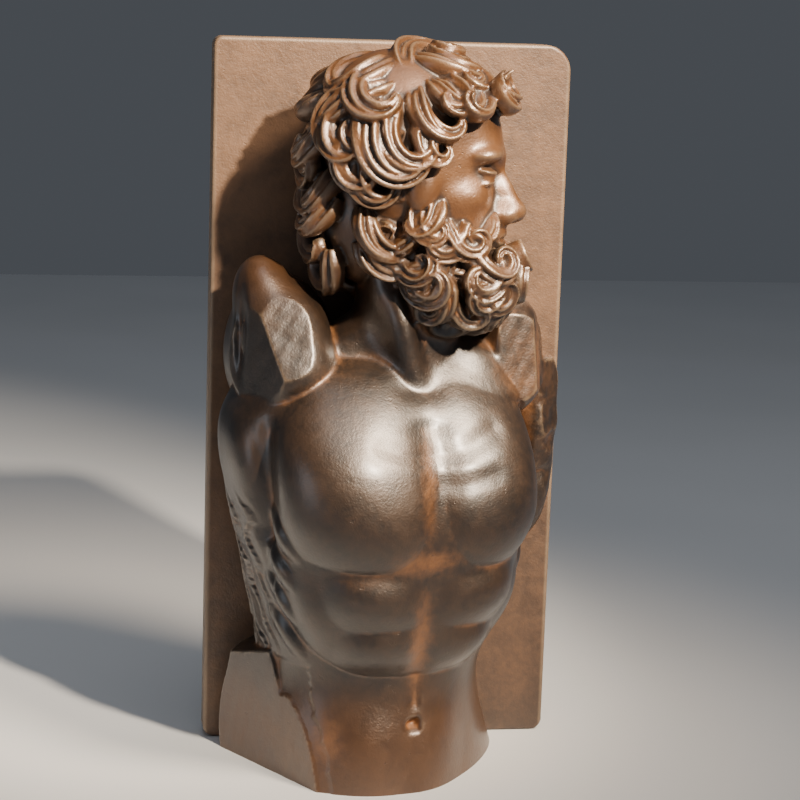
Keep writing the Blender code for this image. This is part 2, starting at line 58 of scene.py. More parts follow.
# Small tools
def smoothThrough(table, share):
    # rows of the table read at shares of its length, on a cubic curve that passes through every row
    table = np.asarray(table, float)
    place = np.clip(share, 0, 1) * (len(table) - 1)
    first = np.minimum(place.astype(int), len(table) - 2)
    t = (place - first)[..., None]
    before = table[np.maximum(first - 1, 0)]
    start = table[first]
    end = table[first + 1]
    after = table[np.minimum(first + 2, len(table) - 1)]
    return (
        (2 * t**3 - 3 * t**2 + 1) * start
        + (t**3 - 2 * t**2 + t) * (end - before) / 2
        + (3 * t**2 - 2 * t**3) * end
        + (t**3 - t**2) * (after - start) / 2
    )


def waves(points, size, seed, count=6):
    # soft noise: a few sines along random directions, the later ones shorter and lower
    draw = np.random.default_rng(seed)
    total = 0
    for i in range(count):
        direction = draw.normal(size=3)
        direction *= 2 * math.pi * 1.5**i / size / np.linalg.norm(direction)
        total = total + np.sin(points @ direction + draw.uniform(0, 6.3)) / 1.3**i
    return total / count


def scaledAway(points, middle, radii):
    # distance from a middle, each axis measured in its own radius
    return np.linalg.norm((points - np.array(middle, float)) / np.array(radii, float), axis=-1)


def unevenness(points):
    # the waves of the broken planes, the same in every body that a break runs through
    return waves(points, 9, 5)


# Torso
torso = {
    "axis": (-6.0, -20.0),
    "turn": math.radians(15),
    "girthRadius": 62.0,
    "softTop": 0.9,  # a pad's upper edge is softer than its lower one by this power
    "softSide": 0.35,  # and its outer edge than its inner one by this
    "backDepth": 30.0,
    "backRoundness": 0.55,
    "reliefBehind": 0.6,  # how far past the sides the muscles go on, as a share of the depth
    "grid": (330, 400),
    # height, half width left, half width right, depth in front, roundness left and right (1 is an ellipse)
    "sections": (
        (-4, 57, 59, 55, 0.9, 1.45),
        (20, 52.5, 51, 51, 0.9, 1.35),
        (40, 48, 46, 48, 0.9, 1.1),
        (55, 48.5, 47, 49, 0.88, 0.9),
        (75, 53, 52, 53, 0.86, 0.86),
        (95, 57, 55, 55, 0.82, 0.82),
        (115, 61, 57, 57, 0.78, 0.78),
        (135, 65, 58, 54, 0.76, 0.76),
        (150, 65, 58, 48, 0.76, 0.76),
        (162, 59, 56, 42, 0.8, 0.8),
        (171, 50, 49, 34, 0.85, 0.85),
        (178, 26, 28, 20, 0.9, 0.9),
        (181, 4, 4, 4, 0.9, 0.9),
    ),
    # distance from the midline, height, reach inward, outward, down, up, tilt, swell, edge, squareness
    "muscles": (
        (32, 124, 31, 33, 28, 58, 8, 6.0, 0.72, 3.2),  # breast
        (23, 82, 23, 27, 14, 14, 3, 4.0, 1.3, 2.4),  # abdomen, upper row
        (20, 60, 20, 24, 12, 13, -6, 3.7, 1.3, 2.4),  # abdomen, lower row
        (52, 76, 16, 16, 21, 22, -25, 2.0, 1.6, 2.0),  # beside the abdomen
        (20, 18, 19, 24, 26, 22, 0, 1.8, 1.6, 2.0),  # belly
        (97, 130, 22, 22, 48, 36, -6, 4.8, 0.9, 2.0),  # broad muscle of the back
    ),
    "beds": (
        (0, 116, 70, 70, 36, 58, 0, 2.4, 1.5, 2.6),  # under both breasts
        (0, 92, 75, 75, 44, 95, 0, 7.5, 0.6, 2.6),  # rib cage
    ),
    "ribs": 4,
    "firstRib": (66, 108),
    "ribStep": (2.5, -15),
    "rib": (17, 17, 7, 7, 38, 3.0, 1.2, 2.0),
    # grooves: from, to, width, depth
    "grooves": (
        ((0, 150), (0, 100), 4.0, 1.5),  # breastbone
        ((0, 93), (0, 36), 4.2, 1.8),  # middle of the abdomen
        ((-14, 145), (-4, 141), 4.0, 0.9),  # between the breast muscle's bundles
        ((4, 141), (20, 149), 4.4, 1.3),
        ((4, 130), (16, 133), 4.0, 0.9),
        ((-2, 27), (2, 27.5), 2.2, 4.6),  # navel
        ((0, 168), (0, 173), 6.0, 4.0),  # pit of the throat
        ((-76, 108), (-68, 146), 8.0, 3.5),  # hollows before the back muscles
        ((76, 108), (68, 146), 8.0, 3.5),
    ),
}


def pad(s, z, muscle):
    # a cushion: its swell times one minus the squared distance from its middle, to the power of its edge
    middleS, middleZ, inward, outward, down, up, tilt, swell, edge, squareness = muscle
    turn = math.radians(tilt)
    u = (s - middleS) * math.cos(turn) + (z - middleZ) * math.sin(turn)
    v = (z - middleZ) * math.cos(turn) - (s - middleS) * math.sin(turn)
    rise = np.clip(v / up, 0, 1)
    aside = np.clip(u / outward, 0, 1)
    power = edge + torso["softTop"] * rise + torso["softSide"] * aside
    u = np.abs(u) / np.where(u < 0, inward, outward)
    v = np.abs(v) / np.where(v < 0, down, up)
    r = (u**squareness + v**squareness) ** (1 / squareness)
    return swell * np.clip(1 - r**2, 0, None) ** power


def groove(s, z, start, end, width, depth):
    # a channel of bell-shaped section along a line
    along = np.subtract(end, start)
    share = np.clip(((s - start[0]) * along[0] + (z - start[1]) * along[1]) / (along @ along), 0, 1)
    away = np.hypot(s - start[0] - share * along[0], z - start[1] - share * along[1])
    return depth * np.exp(-((away / width) ** 2))


def muscleRelief(s, z):
    # beds, plus the pads of both halves blended by their cubes, less the grooves
    pads = []
    for side in (-1, 1):
        pads += [pad(side * s, z, muscle) for muscle in torso["muscles"]]
        for i in range(torso["ribs"]):
            middle = [torso["firstRib"][k] + i * torso["ribStep"][k] for k in (0, 1)]
            pads.append(pad(side * s, z, (*middle, *torso["rib"])))
    swell = sum(pad(s, z, bed) for bed in torso["beds"]) + sum(p**3 for p in pads) ** (1 / 3)
    return swell - sum(groove(s, z, *g) for g in torso["grooves"])


brokenFlank = {
    "from": (-126, 42),  # distance round the body and height of the corners of the rough stretch
    "to": (-78, 122),
    "soft": 12,  # width of its faded border
    "lean": (0.45, 0.12),  # how fast layers follow one another round the body and upward
    "wander": 9,  # how far their edges stray, and over what length
    "wanderSize": 34,
    "layer": 5.5,
    "depth": 1.7,
    "rising": 0.8,  # each layer rises over this share of its width and drops over the rest
    "dropping": 0.2,
    "sunk": 0.4,  # how far the layers lie below the smooth flank, as a share of their depth
}


def flankLayers(s, z):
    # worn layers along the flank: steps whose edges wander, faded out towards the stretch's ends
    start = brokenFlank["from"]
    end = brokenFlank["to"]
    soft = brokenFlank["soft"]
    inside = np.clip((s - start[0]) / soft, 0, 1) * np.clip((end[0] - s) / soft, 0, 1)
    inside = inside * np.clip((z - start[1]) / soft, 0, 1) * np.clip((end[1] - z) / soft, 0, 1)
    spots = np.stack([s + 0 * z, z + 0 * s, 0 * s + 0 * z], -1)
    stray = brokenFlank["wander"] * waves(spots, brokenFlank["wanderSize"], 21, 7)
    course = s * brokenFlank["lean"][0] + z * brokenFlank["lean"][1] + stray
    step = course / brokenFlank["layer"] % 1
    rise = np.clip(step / brokenFlank["rising"], 0, 1)
    drop = np.clip((step - brokenFlank["rising"]) / brokenFlank["dropping"], 0, 1)
    return brokenFlank["depth"] * inside * (rise - drop - brokenFlank["sunk"])


def torsoSkin():
    # sections lofted from the foot to the neck, pushed out along their normals by the muscles' relief
    rings, spokes = torso["grid"]
    share = np.linspace(0, 1, rings)[:, None]
    around = np.linspace(-math.pi, math.pi, spokes, endpoint=False)[None, :]
    z, left, right, front, roundLeft, roundRight = np.moveaxis(smoothThrough(torso["sections"], share), -1, 0)
    side = np.sin(around)
    fore = np.cos(around)
    roundness = np.where(side < 0, roundLeft, roundRight)
    half = np.where(side < 0, left, right)
    depth = np.where(fore > 0, front, np.minimum(torso["backDepth"], front))
    across = half * np.sign(side) * np.abs(side) ** roundness
    out = depth * np.sign(fore) * np.abs(fore) ** np.where(fore > 0, roundness, torso["backRoundness"])
    steep = np.hypot(side / half, fore / depth)
    girth = around * torso["girthRadius"]
    relief = muscleRelief(girth, z) * np.clip(fore + torso["reliefBehind"], 0, 1)
    relief = relief + flankLayers(girth, z)
    across = across + relief * side / half / steep
    out = out + relief * fore / depth / steep
    c = math.cos(torso["turn"])
    s = math.sin(torso["turn"])
    x = torso["axis"][0] + across * c + out * s
    y = torso["axis"][1] + across * s - out * c
    points = np.stack([x, y, z + 0 * x], -1)
    # below the ledge of the broken hip, what stands out of the uneven plane of the break is pushed back
    # to it, and a thin flake is missing along its edge
    chip = hip["flake"]
    past = beyond(points, *hip["cuts"][0]) + hip["flaw"] * unevenness(points)
    low = np.clip((hip["ledge"] - points[..., 2]) / hip["ledgeSoft"], 0, 1)
    width = chip["width"] * (1 + chip["wander"] * waves(points, chip["waves"], 3))
    flake = np.clip((past + width) / chip["edge"], 0, 1)
    push = np.clip(past, 0, None) + chip["depth"] * flake * (past < 0)
    return points - (push * low)[..., None] * facing(hip["cuts"][0][1])


# Bodies of clay
# A lump is its middle, its radii and its lean in degrees; a hollow is its middle, its radii and its depth;
# a cut is a point of a plane and the direction that faces away from the material. A fine lump or hollow comes
# after the coarse ones. The rays start at the heart, at the reach from it.
def facing(normal):
    return np.array(normal, float) / np.linalg.norm(normal)


def beyond(points, onPlane, normal):
    return (points - np.array(onPlane, float)) @ facing(normal)


def lumpDistance(points, middle, radii, lean):
    # near distance to an ellipsoid: the scaled length times itself less one, over the length scaled twice
    local = points - np.array(middle, float)
    c = math.cos(math.radians(lean))
    s = math.sin(math.radians(lean))
    x, y, z = np.moveaxis(local, -1, 0)
    scaled = np.stack([c * x - s * z, y, s * x + c * z], -1) / np.array(radii, float)
    reach = np.linalg.norm(scaled, axis=-1)
    slope = np.linalg.norm(scaled / np.array(radii, float), axis=-1)
    return reach * (reach - 1) / np.maximum(slope, 1e-9)


def clay(points, body):
    # soft minimum of the lumps' distances, then of the fine lumps', raised in hollows and cut by planes
    field = softLeast([lumpDistance(points, *lump) for lump in body["lumps"]], body["blend"])
    field = hollowed(field, points, body.get("hollows", ()))
    if "fine" in body:
        fine = [lumpDistance(points, *lump) for lump in body["fine"]]
        field = softLeast([field, *fine], body["fineBlend"])
    if "rough" in body:
        field = field + body["rough"] * waves(points, 11, 8, 8)
    for onPlane, normal in body.get("cuts", ()):
        flaw = body.get("flaw", 0) * unevenness(points)
        field = np.maximum(field, beyond(points, onPlane, normal) + flaw)
    return hollowed(field, points, body.get("fineHollows", ()))


def hollowed(field, points, hollows):
    # the field plus a bell for each hollow: its depth times e to the minus squared scaled distance
    for middle, radii, depth in hollows:
        field = field + depth * np.exp(-(scaledAway(points, middle, radii) ** 2))
    return field


def softLeast(distances, blend):
    # minus the logarithm of the sum of e to the minus distance, both in units of the blend
    total = sum(np.exp(-np.clip(d / blend, -60, 60)) for d in distances)
    return -blend * np.log(total)


approach = {"grid": (150, 170), "times": 16, "share": 0.9, "least": 1}


def claySkin(body):
    # rays from the heart: each point starts outside and moves in by its distance to the clay, over and over
    rings, spokes = body.get("grid", approach["grid"])
    up = np.linspace(-math.pi / 2, math.pi / 2, rings + 2)[1:-1, None]
    around = np.linspace(-math.pi, math.pi, spokes, endpoint=False)[None, :]
    rays = np.stack([np.cos(up) * np.cos(around), np.cos(up) * np.sin(around), np.sin(up) + 0 * around], -1)
    heart = np.array(body["heart"], float)
    reach = np.full((rings, spokes, 1), float(body["reach"]))
    for _ in range(approach["times"]):
        away = clay(heart + reach * rays, body)[..., None]
        reach = np.maximum(reach - approach["share"] * away, approach["least"])
    return heart + reach * rays


def bothSides(middle, radii, amount):
    forward, aside, up = middle
    return (middle, radii, amount), ((forward, -aside, up), radii, amount)


# the head and its hair are in the head's own frame: forward, towards the viewer, up
headPlace = {"middle": (0.0, -42.0, 257.0), "turn": math.radians(12)}
head = {
    "heart": (4, 0, -8),
    "reach": 64,
    "blend": 1.7,
    "grid": (300, 360),
    "lumps": (
        ((0, 0, 0), (35, 28, 36), 0),  # skull
        ((-6, 0, 9), (33, 30, 32), 0),  # bed of the hair
        ((14, 0, 8), (22.5, 22, 22), 0),  # forehead
        ((14, 0, -20), (20.5, 22.5, 27), 0),  # face
        ((33, 0, -1.5), (5, 8, 6), 0),  # between the brows
        ((37.5, 0, -12), (4.4, 3.8, 12.5), -24),  # bridge of the nose
        ((43, 0, -21.5), (4.4, 4.0, 3.8), 0),  # tip of the nose
        ((28, 0, -31), (9, 12, 9), 0),  # round the mouth
        ((29, 0, -44), (8.5, 9, 7), 0),  # chin
        ((36.3, 0, -30.6), (3, 7, 1.9), 0),  # upper lip
        ((35.8, 0, -34.3), (3.2, 6.5, 2.1), 0),  # lower lip
        *bothSides((29.5, 10.5, 1.2), (8.0, 11, 4.4), 0),  # brows
        *bothSides((19, 13, -15), (13, 9.5, 8.5), 0),  # cheeks
        *bothSides((8, 13, -34), (20, 9, 10), 0),  # jaw
        *bothSides((27.8, 11.5, -7.6), (5.8, 6.2, 4.6), 0),  # eyes
        *bothSides((38.5, 4.6, -22.8), (5.0, 3.0, 3.3), 0),  # wings of the nose
        *bothSides((7, 25.5, -12), (5.0, 3.6, 8.5), 12),  # ears
    ),
    "hollows": (
        *bothSides((36, 12, -6.2), (7.5, 8, 4.4), 5.4),  # eye sockets
        *bothSides((25, 27, 4), (10, 8, 12), 2.0),  # temples
    ),
    "fineBlend": 0.45,
    "fine": (
        *bothSides((30.2, 11.2, -7.4), (4.6, 5.4, 3.4), 0),  # eyeballs
        *bothSides((30.8, 11.4, -4.9), (4.9, 6.6, 1.2), 12),  # upper lids
        *bothSides((30.3, 11.4, -10.0), (4.4, 5.8, 0.9), -8),  # lower lids
    ),
    "fineHollows": (
        *bothSides((42.4, 2.6, -26.0), (2.4, 1.3, 1.6), 1.8),  # nostrils
        *bothSides((37.5, 6.6, -20.6), (3.2, 1.2, 3.4), 0.7),  # above the wings
        ((38.9, 0, -32.4), (2.6, 7.0, 0.7), 1.4),  # between the lips
    ),
}
beardBed = {
    "heart": (16, 0, -46),
    "reach": 42,
    "blend": 3,
    "lumps": (((18, 0, -47), (22, 20, 20), 0), ((8, 0, -37), (18, 22, 14), 0)),
}
napeBed = {
    "heart": (-16, 0, -20),
    "reach": 42,
    "blend": 3,
    "lumps": (((-17, 0, -22), (17, 22, 31), 0),),
}
neck = {
    "heart": (0, -34, 196),
    "reach": 80,
    "blend": 3,
    "lumps": (
        ((0, -36, 200), (18, 18, 58), 3),
        ((0, -18, 200), (16, 20, 52), 0),
        ((-9, -47, 205), (5, 7, 24), -16),
        ((0, -55, 182), (5.5, 7, 20), -18),
        ((15, -47, 194), (5, 6, 32), 18),
        ((6, -38, 158), (44, 22, 15), 0),
        ((-21, -30, 177), (23, 18, 11), -28),
        ((27, -32, 173), (20, 16, 10), 25),
    ),
    "hollows": (((8, -62, 180), (6, 9, 13), 4),),
}
headToSlab = {
    "heart": (-2, -12, 262),
    "reach": 60,
    "blend": 4,
    "lumps": (((-4, -14, 262), (30, 22, 31), 0),),
}
raisedStump = {
    "heart": (-48, -30, 180),
    "reach": 60,
    "blend": 3,
    "flaw": 0.45,
    "grid": (220, 260),
    "lumps": (
        ((-49, -36, 176), (20, 26, 27), 10),
        ((-55, -30, 196), (12.5, 17, 18), -14),
        ((-45, -46, 170), (17, 18, 15), 0),
        ((-47, -14, 172), (23, 20, 32), 0),
    ),
    "cuts": (
        ((-61.5, -48, 203), (-0.85, -0.52, -0.02)),
        ((-48, -59.5, 180), (-0.12, -0.89, 0.43)),
    ),
    "fineHollows": (
        ((-65.5, -40, 184), (1.7, 5, 14), 4.2),  # slot in the break
    ),
}
loweredStump = {
    "heart": (45, -20, 172),
    "reach": 60,
    "blend": 2,
    "flaw": 0.5,
    "grid": (220, 260),
    "lumps": (
        ((44, -26, 172), (19, 25, 24), -6),
        ((50, -22, 184), (9, 17, 13), 0),
        ((46, -8, 168), (22, 14, 26), 0),
    ),
    "cuts": (
        ((48, -41.5, 174), (0.22, -0.96, 0.12)),
        ((61, -24, 172), (1, -0.3, 0.1)),
        ((37, -40, 172), (-0.86, -0.5, 0.1)),
        ((43, -36, 194), (-0.3, -0.25, 0.92)),
        ((46, -41, 157), (-0.2, -0.5, -0.84)),
    ),
}
sideRidge = {
    "heart": (64, -3, 138),
    "reach": 70,
    "blend": 4,
    "flaw": 0.6,
    "rough": 0.8,
    "grid": (220, 260),
    "lumps": (
        ((64.6, -2, 160), (10, 12, 12), 0),
        ((65.6, -2, 140), (9, 11, 16), 0),
        ((64, -1, 116), (9, 9, 16), 0),
        ((60, 0, 98), (8, 6, 9), 0),
    ),
    "hollows": (
        ((70, -11, 152), (5, 4, 3), 3),
        ((72, -9, 134), (4, 5, 4), 3),
        ((68, -9, 118), (4, 4, 3), 3),
    ),
    "cuts": (((70, -8, 150), (0.75, -0.65, 0.1)), ((66, -8, 168), (0.2, -0.2, 1))),
}
hip = {
    "heart": (-40, -22, 16),
    "reach": 70,
    "blend": 3,
    "flaw": 0.4,
    "grid": (220, 260),
    "ledge": 51.0,
    "ledgeSoft": 2,
    "flake": {"width": 3.5, "wander": 0.5, "waves": 14, "edge": 0.5, "depth": 0.8},
    "lumps": (((-40, -28, 12), (33, 37, 62), 0),),
    "hollows": (((-74, -6, 44), (8, 10, 14), 9), ((-72, -12, 42), (5, 9, 9), 3)),
    "cuts": (
        ((-55, -34.5, 20), (-0.857, -0.514, 0.0)),  # the break
        ((-51, -40, 51), (-0.317, 0.1, 1)),
        ((-51, -40, 51), (0, -0.918, 0.396)),
    ),
}


def fromHead(points):
    forward = np.array([math.cos(headPlace["turn"]), -math.sin(headPlace["turn"]), 0])
    aside = np.array([-math.sin(headPlace["turn"]), -math.cos(headPlace["turn"]), 0])
    moved = points[..., 0:1] * forward + points[..., 1:2] * aside
    moved[..., 2] += points[..., 2]
    return moved + np.array(headPlace["middle"])


# Locks of hair
# A lock is the azimuth and height of its root, its heading (0 is down, 90 is to the back), its bend and curl,
# its length, width, thickness and the lift of its tip; angles are in degrees.
# A ring of locks is its height, first and last azimuth, count, heading, length, width, thickness, lift, bend,
# curl and phase.
hair = {
    "form": ((-2, 0, 3), (35, 30, 32.5)),
    "locks": (
        (110, 40, 14, -60, -150, 52, 14, 10, 5),  # the long ones over the ear
        (94, 38, 22, -70, -170, 42, 12, 9, 5),
        (78, 42, 12, -80, -170, 35, 11, 9, 5),  # temple
        (64, 50, -8, -60, -190, 31, 11, 9, 6),
        (92, 14, 40, 70, 190, 30, 12, 8, 4),
        (76, 20, 20, -70, -190, 25, 10, 8, 4),
        (120, 16, 30, -70, -180, 34, 13, 10, 5),
        (86, 56, 150, 150, 260, 62, 12, 10, 8),  # the spiral on top
        (98, 52, 60, -30, 110, 42, 14, 9, 4),
        (116, 44, 60, -40, -120, 38, 14, 9, 5),
        (46, 56, -30, 70, 200, 30, 11, 9, 7),  # forelocks
        (30, 50, -20, 80, 210, 31, 11, 10, 12),
        (12, 46, -10, -80, -210, 33, 11, 10, 18),
        (-8, 48, 10, 80, 210, 33, 11, 10, 17),
        (-32, 48, 20, -80, -200, 31, 11, 10, 9),
        (24, 66, -40, -60, -190, 36, 12, 9, 8),
        (-4, 68, 0, 60, 190, 34, 12, 9, 8),
    ),
    "rings": (
        (78, 60, 300, 5, 0, 36, 14, 9, 4, 60, 130, 0.3),
        (58, 128, 322, 6, 10, 34, 14, 10, 5, 50, 140, 1.1),
        (34, 134, 300, 6, 10, 33, 13, 10, 5, 60, 160, 2.0),
        (10, 114, 280, 6, 0, 32, 13, 10, 5, 60, 160, 2.9),
    ),
}
nape = {
    "form": ((-17, 0, -23), (19, 24, 33)),
    "rings": (
        (34, 76, 270, 5, 0, 31, 12, 9, 4, 60, 170, 0.6),
        (6, 82, 270, 5, 0, 31, 12, 9, 4, 60, 180, 1.9),
        (-24, 88, 270, 5, 0, 30, 11, 9, 4, 60, 190, 0.2),
    ),
}
cheekBeard = {
    "form": ((12, 0, -25), (24, 23, 27)),
    "locks": (
        (60, -2, 10, 90, 260, 28, 9, 8, 3),
        (80, 0, -10, -90, -270, 29, 9.5, 8.5, 3),
        (102, -2, 20, 90, 260, 30, 10, 9, 3),
        (124, -4, 20, -60, -220, 30, 10, 9, 3),
        (52, -26, 0, -90, -260, 28, 9, 8, 4),
        (72, -24, 0, 90, 270, 30, 10, 9, 4),
        (96, -26, 10, -90, -270, 32, 10.5, 9, 4),
        (120, -28, 10, 90, 240, 32, 10.5, 9, 3),
        (-60, -4, 0, 90, 260, 29, 10, 9, 3),
        (-90, -4, 0, -90, -260, 29, 10, 9, 3),
        (-70, -26, 0, 90, 260, 29, 10, 9, 3),
        (-100, -26, 0, -90, -260, 29, 10, 9, 3),
        (86, 18, 0, 60, 220, 24, 9, 8, 3),  # beside the ear
        (106, 16, 10, -70, -220, 26, 9, 8, 3),
        (22, 5, 24, 60, 130, 24, 7, 6.5, 2),  # moustache
        (-22, 5, -24, -60, -130, 24, 7, 6.5, 2),
    ),
}
chinBeard = {
    "form": ((18, 0, -46), (23, 21, 20)),
    "rings": (
        (28, -140, 140, 9, 0, 31, 10, 9, 4, 80, 270, 1.2),
        (2, -130, 130, 9, 0, 31, 10, 9, 4, 80, 270, 0.5),
        (-26, -120, 130, 8, 0, 30, 10, 9, 4, 80, 270, 2.2),
        (-56, -90, 130, 5, 0, 26, 9, 8, 3, 80, 250, 1.5),
    ),
}
lockDetail = {
    "steps": 44,
    "sides": 18,
    "strands": 4,
    "spread": 0.62,  # how far apart a lock's outer strands lie, as a share of its width
    "strandWidth": 0.30,
    "strandThickness": 0.84,
    "crown": 0.10,  # how far the middle strands stand above the outer ones, as a share of the thickness
    "tip": 0.80,  # how much narrower the tip is
    "tipPower": 2.4,
    "root": 0.6,  # width at the root, as a share of the full width
    "rootGrowth": 2.5,
    "wander": 0.06,  # how far a strand strays, as a share of the lock's width
    "uneven": 0.12,
    "arch": 0.5,  # how far a lock stands off the form halfway, as a share of its thickness
    "sunk": 0.1,  # and how far its root and tip are sunk
    "liftPower": 1.5,
}
unevenLocks = {  # how far the locks of a ring differ from one another, in degrees and in lengths
    "azimuth": 4,
    "height": 5,
    "heading": 18,
    "bend": 25,
    "curl": 20,
    "length": 4,
    "lift": 1.5,
}


def ringOfLocks(height, first, last, count, heading, length, width, thickness, lift, bend, curl, phase):
    # evenly spaced locks that curl to either side in turn, each varied by two sines of its number
    uneven = unevenLocks
    locks = []
    for i in range(count):
        side = 1 if i % 2 else -1
        early = math.sin(2.4 * i + phase)
        late = math.cos(3.9 * i + phase)
        lock = (
            first + (last - first) * i / (count - 1) + uneven["azimuth"] * early,
            height + uneven["height"] * late,
            heading + uneven["heading"] * late * side,
            side * (bend + uneven["bend"] * early),
            side * (curl + uneven["curl"] * late),
            length + uneven["length"] * early,
            width,
            thickness,
            lift + uneven["lift"] * late,
        )
        locks.append(lock)
    return locks


def lockPaths(form, rows, steps):
    # each lock creeps over its ellipsoid: a step along its course, back onto the form, then its course turns
    middle, radii = np.array(form, float)
    azimuth, height, heading, bend, curl = [np.radians(rows[:, k : k + 1]) for k in range(5)]
    length, _, thickness, tipLift = [rows[:, k : k + 1] for k in range(5, 9)]
    level = np.cos(height)
    out = np.concatenate([level * np.cos(azimuth), level * np.sin(azimuth), np.sin(height)], 1)
    around = np.concatenate([-np.sin(azimuth), np.cos(azimuth), 0 * azimuth], 1)
    course = np.cos(heading) * np.cross(around, out) + np.sin(heading) * around
    place = out * radii
    places = []
    normals = []
    for i in range(steps):
        share = i / (steps - 1)
        normal = place / radii**2
        normal /= np.linalg.norm(normal, axis=1, keepdims=True)
        course = course - (course * normal).sum(1, keepdims=True) * normal
        course /= np.linalg.norm(course, axis=1, keepdims=True)
        turn = (bend + 3 * curl * share**2) / (steps - 1)
        course = np.cos(turn) * course + np.sin(turn) * np.cross(normal, course)
        arch = lockDetail["arch"] * math.sin(math.pi * share) - lockDetail["sunk"]
        lift = tipLift * share ** lockDetail["liftPower"] + thickness * arch
        places.append(middle + place + lift * normal)
        normals.append(normal)
        place = place + course * length / (steps - 1)
        place /= np.linalg.norm(place / radii, axis=1, keepdims=True)
    return np.stack(places, 1), np.stack(normals, 1)


def lockSkins(growth):
    # a few strands for each lock, side by side at the root and drawn together at the tip; a strand is an oval
    # that swells and tapers along its path
    inRings = [lock for ring in growth.get("rings", ()) for lock in ringOfLocks(*ring)]
    rows = np.array([*growth.get("locks", ()), *inRings], float)
    steps = lockDetail["steps"]
    sides = lockDetail["sides"]
    paths, normals = lockPaths(growth["form"], rows, steps)
    share = np.linspace(0, 1, steps)[None, :, None]
    width = rows[:, 6, None, None]
    thickness = rows[:, 7, None, None]
    narrow = 1 - lockDetail["tip"] * share ** lockDetail["tipPower"]
    taper = narrow * np.minimum(1, lockDetail["root"] + lockDetail["rootGrowth"] * share)
    across, _ = sideways(paths, normals)
    turn = np.linspace(0, 2 * math.pi, sides, endpoint=False)[None, None, :, None]
    skins = []
    for place in np.linspace(-1, 1, lockDetail["strands"]):
        phase = (2.4 * np.arange(len(rows)) + 3.1 * place)[:, None, None]
        wander = lockDetail["wander"] * width * np.sin(5 * share + phase)
        path = paths + across * (place * lockDetail["spread"] / 2 * width * taper + wander)
        crown = lockDetail["crown"] * (1 - place**2) + 0.10 * np.sin(4 * share + 2 * phase)
        path = path + normals * thickness * crown
        right, outward = sideways(path, normals)
        varied = 1 + lockDetail["uneven"] * np.sin(2.7 * phase)
        halfWidth = width * lockDetail["strandWidth"] / 2 * taper * varied
        halfHeight = thickness * lockDetail["strandThickness"] / 2 * taper**0.6
        rings = halfWidth[..., None] * np.cos(turn) * right[:, :, None]
        rings = rings + halfHeight[..., None] * np.sin(turn) * outward[:, :, None]
        skins += list(fromHead(path[:, :, None] + rings))
    return skins


def sideways(paths, normals):
    # unit directions across each path and out of its surface
    along = np.gradient(paths, axis=1)
    across = np.cross(normals, along)
    across /= np.linalg.norm(across, axis=-1, keepdims=True)
    outward = np.cross(along, across)
    return across, outward / np.linalg.norm(outward, axis=-1, keepdims=True)


# Meshes
def newObject(name, points, faces):
    mesh = bpy.data.meshes.new(name)
    mesh.from_pydata(points, [], faces)
    mesh.update()
    thing = bpy.data.objects.new(name, mesh)
    bpy.context.scene.collection.objects.link(thing)
    return thing


def joinSkins(name, skins):
    # rings joined by quads, with a face over each end
    points = []
    faces = []
    first = 0
    for skin in skins:
        rings, spokes, _ = skin.shape
        number = np.arange(rings * spokes).reshape(rings, spokes) + first
        corners = (number[:-1], np.roll(number[:-1], -1, 1), np.roll(number[1:], -1, 1), number[1:])
        faces += np.stack(corners, -1).reshape(-1, 4).tolist()
        faces += [number[0, ::-1].tolist(), number[-1].tolist()]
        points.append(skin.reshape(-1, 3) * unit)
        first += rings * spokes
    return newObject(name, np.concatenate(points).tolist(), faces)


def settled(thing):
    # the object's mesh with its modifiers put in
    graph = bpy.context.evaluated_depsgraph_get()
    mesh = bpy.data.meshes.new_from_object(thing.evaluated_get(graph))
    thing.modifiers.clear()
    thing.data = mesh
    return thing


def meshArrays(mesh):
    points = np.empty(3 * len(mesh.vertices))
    mesh.vertices.foreach_get("co", points)
    edges = np.empty(2 * len(mesh.edges), int)
    mesh.edges.foreach_get("vertices", edges)
    return points.reshape(-1, 3), edges.reshape(-1, 2)


def slabObject():
    # the outline with rounded corners, drawn out to the thickness, its edges eased
    halfWidth = slabSize["width"] / 2
    high = slabSize["height"]
    corners = (
        (-halfWidth, 0, slabSize["foot"], 180),
        (halfWidth, 0, slabSize["foot"], 270),
        (halfWidth, high, slabSize["topRight"], 0),
        (-halfWidth, high, slabSize["topLeft"], 90),
    )
    outline = []
    for x, z, radius, start in corners:
        middleX = x - math.copysign(radius, x)
        middleZ = z + radius if z == 0 else z - radius
        for turn in np.radians(start + np.linspace(0, 90, slabSize["cornerPoints"])):
            outline.append((middleX + radius * math.cos(turn), middleZ + radius * math.sin(turn)))
    count = len(outline)
    points = [(x, y, z) for y in (0, slabSize["thickness"]) for x, z in outline]
    faces = [[i, i + count, (i + 1) % count + count, (i + 1) % count] for i in range(count)]
    faces += [list(range(count)), list(range(count, 2 * count))[::-1]]
    slab = newObject("slab", points, faces)
    edges = slab.modifiers.new("edges", "BEVEL")
    edges.width = slabSize["edge"]
    edges.segments = slabSize["edgeSegments"]
    edges.limit_method = "ANGLE"
    return settled(slab)


def groundBlock():
    # what lies under the floor is cut off
    reach = 2 * slabSize["width"]
    square = ((-reach, -reach), (reach, -reach), (reach, reach), (-reach, reach))
    corners = [(x, y, z) for z in (-reach, 0) for x, y in square]
    walls = [[i, (i + 1) % 4, (i + 1) % 4 + 4, i + 4] for i in range(4)]
    return newObject("ground", corners, [*walls, [3, 2, 1, 0], [4, 5, 6, 7]])


